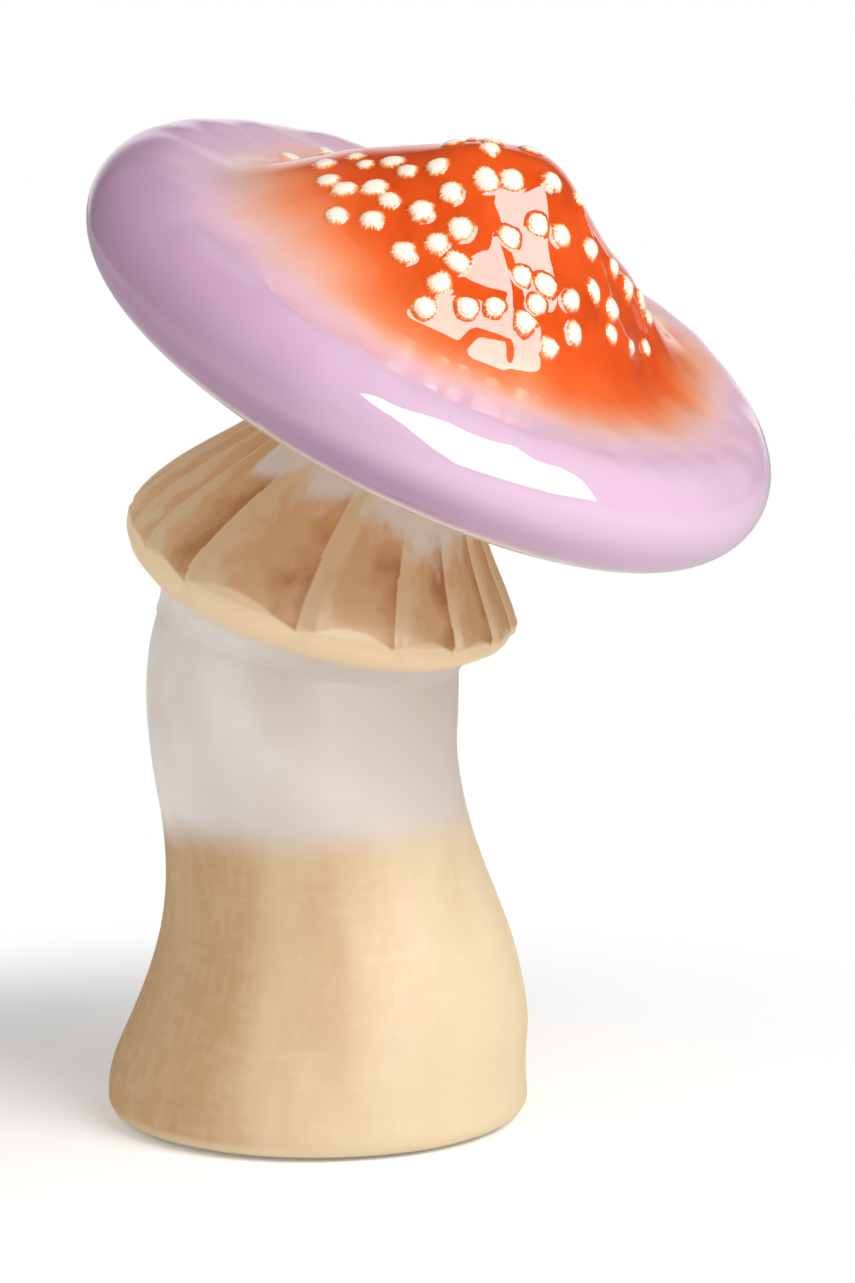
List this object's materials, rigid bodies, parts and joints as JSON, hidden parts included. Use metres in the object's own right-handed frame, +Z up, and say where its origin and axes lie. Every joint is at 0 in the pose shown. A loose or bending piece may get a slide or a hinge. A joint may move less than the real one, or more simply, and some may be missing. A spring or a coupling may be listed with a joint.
{
  "type": "mushroom figurine",
  "caption": "Glazed ceramic mushroom figurine: wide tilted cap with a tall boss and raised dots, pleated skirt, and a swaying hollow stem that flares into a flat foot on a felt pad.",
  "frame": {"origin": "middle of the felt pad's lower face, on the ground", "axes": "+Z up, +X to the right and +Y away from the viewer who sees the figurine as it is meant to be seen"},
  "size_m": [0.1337, 0.1429, 0.1998],
  "materials": {
    "felt": "dark grey wool felt, stuck in a recess under the foot",
    "stem_glaze": "glossy off-white glaze that changes softly to a mottled sand colour on the lower part",
    "skirt_glaze": "glossy tan glaze over the pleats, cream at the rim and whitish grey near the cap",
    "underside_glaze": "glossy tan glaze, cream towards the rim",
    "cap_glaze": "glossy lilac glaze that bleeds through peach into orange over the boss, cream along the lower rim",
    "dot_glaze": "glossy creamy white slip, raised"
  },
  "bodies": {
    "root": {"base_pad": "felt", "stem": "stem_glaze", "skirt": "skirt_glaze", "cap_underside": "underside_glaze", "cap_crown": "cap_glaze", "dots_peak": "dot_glaze", "dots_front": "dot_glaze", "dots_left": "dot_glaze", "dots_right": "dot_glaze", "dots_back": "dot_glaze"}
  },
  "joints": []
}
